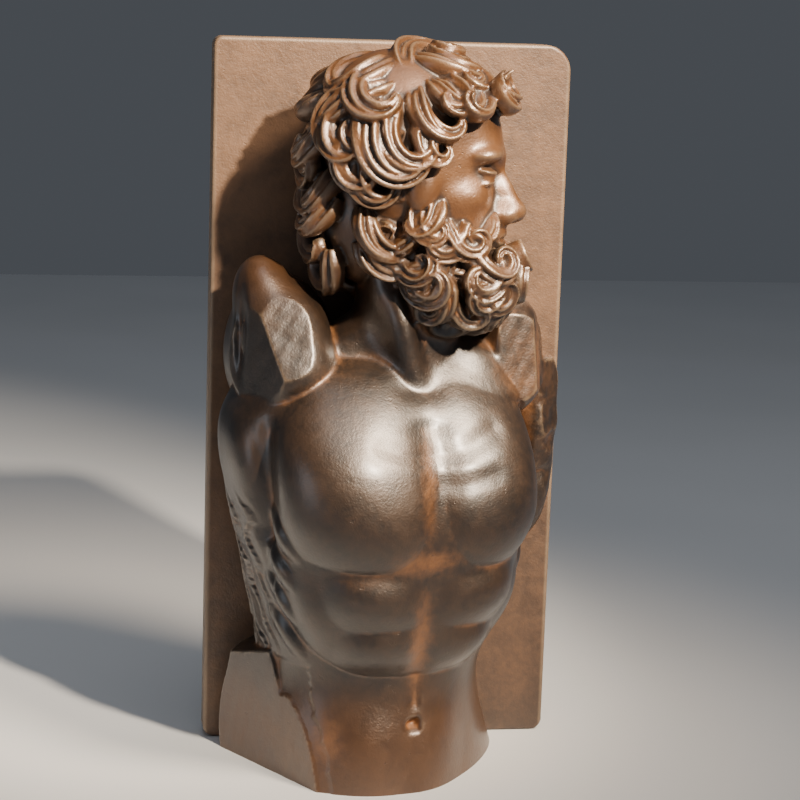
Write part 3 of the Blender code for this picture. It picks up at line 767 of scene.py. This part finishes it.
casting = {
    "voxel": 0.0006,
    "triangles": 185000,
    "smoothings": 70,
    # where bodies of clay are smoothed into one another: middle and radii
    "seams": (
        ((4, -50, 176), (50, 28, 17)),  # collar bones and the root of the neck
        ((-40, -44, 158), (24, 24, 18)),  # raised stump to breast
    ),
    "seamRise": 1.6,  # how fast the smoothing rises from a seam's border
    "overall": 0.01,  # how much the skin below the beard is smoothed everywhere
    "smoothBelow": 0.208,
    "fade": 0.012,
    "stride": 0.6,
}


def gathered(values, a, b, count):
    # for every point, the sum of its neighbours' values
    return np.stack([np.bincount(a, values[b, k], count) for k in range(values.shape[1])], 1)


def neighbourhood(mesh):
    # the points, the two ends of every edge both ways round, and how many neighbours each point has
    points, edges = meshArrays(mesh)
    a = np.concatenate([edges[:, 0], edges[:, 1]])
    b = np.concatenate([edges[:, 1], edges[:, 0]])
    return points, a, b, np.maximum(np.bincount(a, minlength=len(points)), 1)[:, None]


def smoothSeams(thing):
    # points near a seam move towards the mean of their neighbours, over and over
    points, a, b, neighbours = neighbourhood(thing.data)
    weight = np.full(len(points), casting["overall"])
    for middle, radii in casting["seams"]:
        near = 1 - scaledAway(points / unit, middle, radii)
        weight = np.maximum(weight, np.clip(casting["seamRise"] * near, 0, 1))
    weight *= np.clip((casting["smoothBelow"] - points[:, 2]) / casting["fade"], 0, 1)
    weight = casting["stride"] * weight[:, None]
    for _ in range(casting["smoothings"]):
        points = points + weight * (gathered(points, a, b, len(points)) / neighbours - points)
    thing.data.vertices.foreach_set("co", points.ravel())
    thing.data.update()


def keepOuterSkin(thing):
    # drop the walls of pockets sealed between the locks: keep the largest of the joined-up parts
    mesh = thing.data
    points, edges = meshArrays(mesh)
    label = np.arange(len(points))
    done = False
    while not done:
        least = label[edges].min(1)
        fresh = label.copy()
        np.minimum.at(fresh, label[edges[:, 0]], least)
        np.minimum.at(fresh, label[edges[:, 1]], least)
        fresh = fresh[fresh]
        done = bool((fresh == label).all())
        label = fresh
    numbers, counts = np.unique(label, return_counts=True)
    drop = label != numbers[counts.argmax()]
    if drop.any():
        work = bmesh.new()
        work.from_mesh(mesh)
        work.verts.ensure_lookup_table()
        bmesh.ops.delete(work, geom=[work.verts[i] for i in np.flatnonzero(drop)], context="VERTS")
        work.to_mesh(mesh)
        work.free()


def carvedCasting():
    # skins fused, smoothed and measured for wear and for painted shade, then joined to the slab, cut off at
    # the floor and thinned
    skins = [torsoSkin()]
    print("torso carved")
    skins += [fromHead(claySkin(body)) for body in (head, beardBed, napeBed)]
    skins += [claySkin(body) for body in (neck, headToSlab, raisedStump, loweredStump, sideRidge, hip)]
    bodies = len(skins)
    print("head, neck and breaks modelled")
    for growth in (hair, nape, cheekBeard, chinBeard):
        skins += lockSkins(growth)
    print("strands laid:", len(skins) - bodies)
    for skin in skins:
        skin[..., 1] = np.minimum(skin[..., 1], embed)
    bust = joinSkins("carved_casting", skins)
    slab = slabObject()
    ground = groundBlock()
    fuse = bust.modifiers.new("fuse", "REMESH")
    fuse.mode = "VOXEL"
    fuse.voxel_size = casting["voxel"]
    keepOuterSkin(settled(bust))
    smoothSeams(bust)
    print("fused into", len(bust.data.polygons), "faces")
    wearAndShade = wearAndShadeOf(bust.data)
    print("wear worked out")
    for operation, tool in (("UNION", slab), ("DIFFERENCE", ground)):
        boolean = bust.modifiers.new(operation.lower(), "BOOLEAN")
        boolean.operation = operation
        boolean.object = tool
        boolean.solver = "MANIFOLD"
    keepOuterSkin(settled(bust))
    for tool in (slab, ground):
        bpy.data.objects.remove(tool)
    bust.data.calc_loop_triangles()
    thin = bust.modifiers.new("thin", "DECIMATE")
    thin.ratio = casting["triangles"] / len(bust.data.loop_triangles)
    settled(bust)
    bust.data.shade_smooth()
    bust.data.set_sharp_from_angle(angle=math.radians(60))
    bust.modifiers.new("normals", "WEIGHTED_NORMAL").keep_sharp = True
    settled(bust)
    print("casting:", len(bust.data.vertices), "points")
    return bust, wearAndShade


# Patina and painted light
wearAndShadeScales = {
    "rounds": (5, 22, 90),  # of smoothing: fine, middling and wide
    # share and reach in millimetres of the middling and the wide hollows, as rust and as painted shade in the
    # gaps
    "recess": ((0.45, 0.35), (0.22, 0.9)),
    "paintedGapShade": ((0.6, 0.22), (0.6, 0.6)),
    "ridge": ((0.7, 0.10), (0.4, 0.5)),  # the same of the fine and the middling ridges
    # where rust shows most: middle, radii and amount
    "rusty": (
        ((3, -76, 99), (20, 16, 7), 0.66),  # under the breasts
        ((6, -78, 130), (4.5, 16, 36), 0.52),  # breastbone
        ((6, -74, 64), (6, 16, 32), 0.50),  # middle of the abdomen
        ((-18, -76, 92), (15, 14, 6), 0.45),
        ((-32, -48, 166), (14, 16, 9), 0.5),  # armpit
        ((50, -28, 168), (22, 24, 28), 0.5),  # lowered stump
        ((62, -6, 140), (14, 12, 40), 0.4),
        ((-28, -64, 18), (12, 16, 14), 0.4),  # belly
    ),
    "look": 0.007,  # how far out from the skin other skin is looked for
    "cell": 0.002,
}


def hollowness(mesh):
    # how far each point lies below the smoothed skin round it, at three scales, in millimetres
    points, a, b, neighbours = neighbourhood(mesh)
    normals = np.empty(points.size)
    mesh.vertices.foreach_get("normal", normals)
    normals = normals.reshape(-1, 3)
    smooth = points
    found = []
    done = 0
    for rounds in wearAndShadeScales["rounds"]:
        for _ in range(rounds - done):
            smooth = 0.4 * smooth + 0.6 * gathered(smooth, a, b, len(points)) / neighbours
        done = rounds
        found.append(((smooth - points) * normals).sum(1) * 1000)
    return points, normals, found


def blurred(grid, rounds):
    # every cell becomes the mean of itself and its two neighbours, along each axis in turn
    for _ in range(rounds):
        for axis in range(3):
            grid = (np.roll(grid, 1, axis) + grid + np.roll(grid, -1, axis)) / 3
    return grid


def surroundings(points, normals):
    # how much other skin, the slab's too, stands in front of each point: counted in cells and blurred
    cell = wearAndShadeScales["cell"]
    look = wearAndShadeScales["look"]
    low = points.min(0) - 4 * look
    shape = ((points.max(0) + 4 * look - low) / cell).astype(int) + 1
    solid = np.zeros(shape)
    solid[tuple(((points - low) / cell).astype(int).T)] = 1
    solid[:, int(-low[1] / cell) :] = 1
    solid = blurred(solid, 3)
    ahead = ((points + normals * look - low) / cell).astype(int)
    return solid[tuple(np.clip(ahead, 0, np.array(shape) - 1).T)]


def easedSum(hollows, rows):
    # each hollow's share times the hyperbolic tangent of its depth over its reach
    pairs = zip(hollows, rows)
    return sum(share * np.tanh(np.clip(found, 0, None) / reach) for found, (share, reach) in pairs)


def wearAndShadeOf(mesh):
    # where rust gathers, where the skin is rubbed bright, and for painted shade how enclosed each place is
    # and how deep a gap is, for the closely set points
    points, normals, (fine, middling, wide) = hollowness(mesh)
    crowd = surroundings(points, normals)
    recess = easedSum((middling, wide), wearAndShadeScales["recess"])
    for middle, radii, amount in wearAndShadeScales["rusty"]:
        away = scaledAway(points / unit, middle, radii)
        recess = np.maximum(recess, amount * np.exp(-(away**2)))
    ridge = easedSum((-fine, -middling), wearAndShadeScales["ridge"])
    values = {
        "recess": np.clip(recess + 0.4 * np.clip(crowd * 3 - 0.3, 0, 1), 0, 1),
        "ridge": np.clip(ridge, 0, 1),
        # depth: how closely other skin stands in front of a point, which the finish paints dark as shade
        "depth": np.clip((crowd - 0.20) / 0.35, 0, 1),
        "paintedGapShade": easedSum((middling, wide), wearAndShadeScales["paintedGapShade"]),
    }
    return points, values


def nearest(points, places):
    # for each place, the number of the point that is nearest to it
    tree = KDTree(len(points))
    for number, point in enumerate(points.tolist()):
        tree.insert(point, number)
    tree.balance()
    return np.array([tree.find(place)[1] for place in places.tolist()])


class Socket:
    # shader maths as Python: an expression on sockets adds its Math nodes
    def __init__(self, maker, link):
        self.maker = maker
        self.link = link

    def math(self, operation, *others):
        return self.maker.node("ShaderNodeMath", {"operation": operation}, [self, *others])

    def __add__(self, other):
        return self.math("ADD", other)

    def __sub__(self, other):
        return self.math("SUBTRACT", other)

    def __mul__(self, other):
        return self.math("MULTIPLY", other)

    def __rsub__(self, other):
        return (self * -1) + other

    __radd__ = __add__
    __rmul__ = __mul__

    def clamp(self):
        return self.maker.node("ShaderNodeClamp", {}, [self])

    def between(self, low, high):
        # 0 at low, 1 at high, eased
        eased = {"interpolation_type": "SMOOTHSTEP"}
        return self.maker.node("ShaderNodeMapRange", eased, [self, low, high, 0.0, 1.0])


class Finish:
    # one material and the ways to add nodes to it
    def __init__(self, name):
        self.material = bpy.data.materials.new(name)
        self.material.use_nodes = True
        self.tree = self.material.node_tree
        self.tree.nodes.clear()

    def node(self, kind, settings, inputs, output=0):
        made = self.tree.nodes.new(kind)
        for key, value in settings.items():
            setattr(made, key, value)
        entries = inputs.items() if isinstance(inputs, dict) else enumerate(inputs)
        for key, value in entries:
            if isinstance(value, Socket):
                self.tree.links.new(value.link, made.inputs[key])
            else:
                made.inputs[key].default_value = value
        return Socket(self, made.outputs[output]) if made.outputs else made

    def mix(self, factor, first, second):
        # sockets 6 and 7 and output 2 are the colours'
        return self.node("ShaderNodeMix", {"data_type": "RGBA"}, {0: factor, 6: first, 7: second}, 2)

    def attribute(self, name):
        return self.node("ShaderNodeAttribute", {"attribute_name": name}, [], "Fac")

    def place(self):
        # x, y and z in metres
        spot = self.node("ShaderNodeTexCoord", {}, [], "Object")
        split = self.tree.nodes.new("ShaderNodeSeparateXYZ")
        self.tree.links.new(spot.link, split.inputs[0])
        return [Socket(self, output) for output in split.outputs]

    def noise(self, scale, detail=4.0, roughness=0.55, distortion=0.0):
        place = self.node("ShaderNodeTexCoord", {}, [], "Object")
        inputs = {"Vector": place, "Scale": scale, "Detail": detail}
        inputs |= {"Roughness": roughness, "Distortion": distortion}
        return self.node("ShaderNodeTexNoise", {}, inputs, "Fac")


patinaAndPaintedLight = {
    "brown": (0.047, 0.024, 0.011, 1),
    "darkBrown": (0.014, 0.009, 0.006, 1),
    "rust": (0.37, 0.142, 0.034, 1),
    # the slab's colours, mixed by its mottling and by painted light that makes it lighter towards its top and
    # its left
    "slabWarmAndPaintedLight": (0.190, 0.095, 0.044, 1),
    "slabDarkAndPaintedShade": (0.060, 0.033, 0.019, 1),
    "worn": (0.30, 0.21, 0.13, 1),
    # the pits' colour, used as well for painted shade in the gaps and in enclosed places
    "pit": (0.010, 0.007, 0.005, 1),
    "edgeWidth": 0.0011,  # of the slab's worn edges
    "warmAbove": (0.185, 0.235),  # the head is rustier than the torso
    "warmBelow": (0.020, 0.050),  # and so is the belly
    "hairAbove": (0.195, 0.210),  # above this the gaps between the locks are painted dark as shade
    "slabFace": (-0.0008, -0.0002),  # y where the figure ends and the slab begins
    "tones": (0.40, 0.40, 0.20),  # shares of the broad, middling and fine mottling
    # how fully each colour covers what lies under it
    "rustCover": 0.85,
    "paintedShadeCover": 0.9,
    "wornCover": 0.5,
    "edgeCover": 0.6,
    "hairShadeCover": 0.85,
    "headWarmth": 0.36,
    "bellyWarmth": 0.2,
    "pitCover": 0.35,
    "roughness": 0.31,
    "metal": 0.35,
    "coat": 0.65,
    "coatRoughness": 0.28,
    "specular": 1.0,
    "bump": 0.55,
    "bumpHeight": 0.0008,
}


def patinaAndPaintedLightFinish():
    # brown body, warmer by the head and the foot; rust in the hollows, painted shade in the gaps between the
    # locks and in enclosed places, worn ridges and slab edges; the slab painted lighter towards its top and
    # its left as painted light
    finish = Finish("rust_brown_patina_and_painted_light")
    recess = finish.attribute("recess")
    ridge = finish.attribute("ridge")
    depth = finish.attribute("depth")
    paintedGapShade = finish.attribute("paintedGapShade")
    x, y, z = finish.place()
    onSlab = y.between(*patinaAndPaintedLight["slabFace"])
    offSlab = 1 - onSlab
    broad = finish.noise(14, 5, 0.6, 0.5)
    mottle = finish.noise(75, 6, 0.68, 0.3)
    speckle = finish.noise(330, 3, 0.6)
    grain = finish.noise(1100, 2, 0.6)
    tone = broad * patinaAndPaintedLight["tones"][0] + mottle * patinaAndPaintedLight["tones"][1] + speckle * patinaAndPaintedLight["tones"][2]
    body = finish.mix(tone.between(0.36, 0.64), patinaAndPaintedLight["darkBrown"], patinaAndPaintedLight["brown"])
    # painted light: the slab's colour is lighter towards its top and its left, as where the lamp falls, on
    # top of its mottling
    mottleAndPaintedLight = tone + (z - 0.15) * 0.5 - x * 0.4
    slabToneAndPaintedLight = finish.mix(mottleAndPaintedLight.between(0.30, 0.66), patinaAndPaintedLight["slabDarkAndPaintedShade"], patinaAndPaintedLight["slabWarmAndPaintedLight"])
    headWarm = z.between(*patinaAndPaintedLight["warmAbove"]) * patinaAndPaintedLight["headWarmth"]
    warm = headWarm + (1 - z.between(*patinaAndPaintedLight["warmBelow"])) * patinaAndPaintedLight["bellyWarmth"]
    colour = finish.mix(warm * (mottle * 0.8 + 0.5).clamp(), body, patinaAndPaintedLight["rust"])
    colour = finish.mix(onSlab, colour, slabToneAndPaintedLight)
    rust = (recess + (tone - 0.5) * 1.2).between(0.15, 1.0) * offSlab
    colour = finish.mix(rust * patinaAndPaintedLight["rustCover"], colour, patinaAndPaintedLight["rust"])
    # painted shade: gaps between the locks and places where other skin stands close in front are darkened to
    # the pit colour
    paintedHairGapShade = paintedGapShade.between(0.25, 1.0) * z.between(*patinaAndPaintedLight["hairAbove"]) * patinaAndPaintedLight["hairShadeCover"]
    paintedShade = paintedHairGapShade.math("MAXIMUM", depth * patinaAndPaintedLight["paintedShadeCover"])
    colour = finish.mix(paintedShade * offSlab, colour, patinaAndPaintedLight["pit"])
    worn = (ridge + (tone - 0.5) * 0.8).between(0.35, 1.1) * offSlab
    colour = finish.mix(worn * patinaAndPaintedLight["wornCover"], colour, patinaAndPaintedLight["worn"])
    width = patinaAndPaintedLight["edgeWidth"]
    side = x.math("ABSOLUTE").between(slabSize["width"] / 2 - 2 * width, slabSize["width"] / 2 - width)
    top = z.between(slabSize["height"] - 2 * width, slabSize["height"] - width)
    edge = side.math("MAXIMUM", top) * y.between(-width, 0) * (mottle * 1.2 + 0.2).clamp()
    colour = finish.mix(edge * patinaAndPaintedLight["edgeCover"], colour, patinaAndPaintedLight["worn"])
    pit = speckle.between(0.66, 0.76)
    colour = finish.mix(pit * patinaAndPaintedLight["pitCover"], colour, patinaAndPaintedLight["pit"])
    rough = (mottle * 0.24 + patinaAndPaintedLight["roughness"] + rust * 0.22 + onSlab * 0.08 - worn * 0.05).clamp()
    rise = grain * 0.25 + speckle * 0.35 + mottle * 0.5 - pit * 0.3
    relief = {"Strength": patinaAndPaintedLight["bump"], "Distance": patinaAndPaintedLight["bumpHeight"], "Height": rise}
    bump = finish.node("ShaderNodeBump", {}, relief, "Normal")
    inputs = {
        "Base Color": colour,
        "Roughness": rough,
        "Metallic": (patinaAndPaintedLight["metal"] - rust * 0.3 - onSlab * 0.2).clamp(),
        "Specular IOR Level": patinaAndPaintedLight["specular"],
        "Coat Weight": (patinaAndPaintedLight["coat"] - rust * 0.5 - onSlab * 0.5).clamp(),
        "Coat Roughness": patinaAndPaintedLight["coatRoughness"],
        "Normal": bump,
    }
    shader = finish.node("ShaderNodeBsdfPrincipled", {}, inputs)
    finish.node("ShaderNodeOutputMaterial", {}, {"Surface": shader})
    return finish.material


def dressCasting(bust, wearAndShade):
    # each point of the casting takes the wear and the painted-shade measures of the nearest of the closely
    # set points
    points, found = wearAndShade
    number = nearest(points, meshArrays(bust.data)[0])
    for name, values in found.items():
        layer = bust.data.attributes.new(name, "FLOAT", "POINT")
        layer.data.foreach_set("value", values[number].astype(np.float32))
    bust.data.materials.clear()
    bust.data.materials.append(patinaAndPaintedLightFinish())


bust, wearAndShade = carvedCasting()
dressCasting(bust, wearAndShade)
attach(bust, "root")
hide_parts("relief_bust")
print("casting dressed")


# Floor, light and camera
room = {
    "floor": (0.80, 0.81, 0.82, 1),
    "floorShade": 0.94,
    "floorSize": 3.0,
    "sky": (0.62, 0.68, 0.78, 1),
    "skyStrength": 0.11,
}


def floorFinish():
    finish = Finish("pale_floor")
    shade = tuple(room["floorShade"] * c for c in room["floor"][:3]) + (1,)
    tone = finish.mix(finish.noise(3, 2).between(0.3, 0.7), room["floor"], shade)
    shader = finish.node("ShaderNodeBsdfPrincipled", {}, {"Base Color": tone, "Roughness": 0.7})
    finish.node("ShaderNodeOutputMaterial", {}, {"Surface": shader})
    return finish.material


half = room["floorSize"] / 2
corners = [(-half, -half, 0), (half, -half, 0), (half, half, 0), (-half, half, 0)]
floor = newObject("floor", corners, [[0, 1, 2, 3]])
floor.data.materials.append(floorFinish())

world = bpy.data.worlds.new("studio")
world.use_nodes = True
background = world.node_tree.nodes["Background"]
background.inputs["Color"].default_value = room["sky"]
background.inputs["Strength"].default_value = room["skyStrength"]
bpy.context.scene.world = world

# each lamp's place, what it points at, its size in metres, its watts and its colour; a lamp with a cone in
# degrees is a spot, the others are soft panels
lamps = {
    "key": {
        "at": (0.38, -0.82, 0.78),
        "aim": (-0.02, -0.03, 0.215),
        "size": 0.05,
        "watts": 130,
        "colour": (1.0, 0.85, 0.67),
        "cone": 26,
    },
    "high": {
        "at": (0.50, -0.52, 0.92),
        "aim": (0, -0.03, 0.17),
        "size": 0.34,
        "watts": 105,
        "colour": (1.0, 0.81, 0.60),
        "cone": 27,
    },
    "sky": {
        "at": (0.10, -0.40, 1.30),
        "aim": (0, -0.10, 0),
        "size": 1.0,
        "watts": 5.0,
        "colour": (0.95, 0.97, 1.0),
    },
    "rim": {
        "at": (-0.90, -0.50, 0.12),
        "aim": (-0.05, -0.03, 0.12),
        "size": 0.4,
        "watts": 1.0,
        "colour": (0.80, 0.89, 1.0),
    },
}
for name, lamp in lamps.items():
    light = bpy.data.lights.new(name, "SPOT" if "cone" in lamp else "AREA")
    if "cone" in lamp:
        light.spot_size = math.radians(lamp["cone"])
        light.spot_blend = 1
        light.shadow_soft_size = lamp["size"] / 2
    else:
        light.size = lamp["size"]
    light.energy = lamp["watts"]
    light.color = lamp["colour"]
    thing = bpy.data.objects.new(name, light)
    bpy.context.scene.collection.objects.link(thing)
    thing.location = lamp["at"]
    thing.rotation_mode = "QUATERNION"
    thing.rotation_quaternion = (Vector(lamp["aim"]) - Vector(lamp["at"])).to_track_quat("-Z", "Y")

view = {
    "at": (-0.14533, -0.90958, 0.32285),
    "yaw": 9.492,  # degrees, towards +X from the slab's normal
    "pitch": 10.690,  # down
    "roll": 1.872,
    "lens": 99.0,  # mm
    "sensor": 36,
}


def photographCamera():
    yaw, pitch, roll = [math.radians(view[key]) for key in ("yaw", "pitch", "roll")]
    ahead = Vector((math.sin(yaw) * math.cos(pitch), math.cos(yaw) * math.cos(pitch), -math.sin(pitch)))
    level = Vector((math.cos(yaw), -math.sin(yaw), 0))
    upright = level.cross(ahead)
    right = math.cos(roll) * level + math.sin(roll) * upright
    up = math.cos(roll) * upright - math.sin(roll) * level
    lens = bpy.data.cameras.new("photograph")
    lens.sensor_width = view["sensor"]
    lens.lens = view["lens"]
    camera = bpy.data.objects.new("photograph", lens)
    bpy.context.scene.collection.objects.link(camera)
    turn = Matrix((right, up, -ahead)).transposed().to_4x4()
    camera.matrix_world = Matrix.Translation(view["at"]) @ turn
    bpy.context.scene.camera = camera


photographCamera()
print("floor, light and camera set")
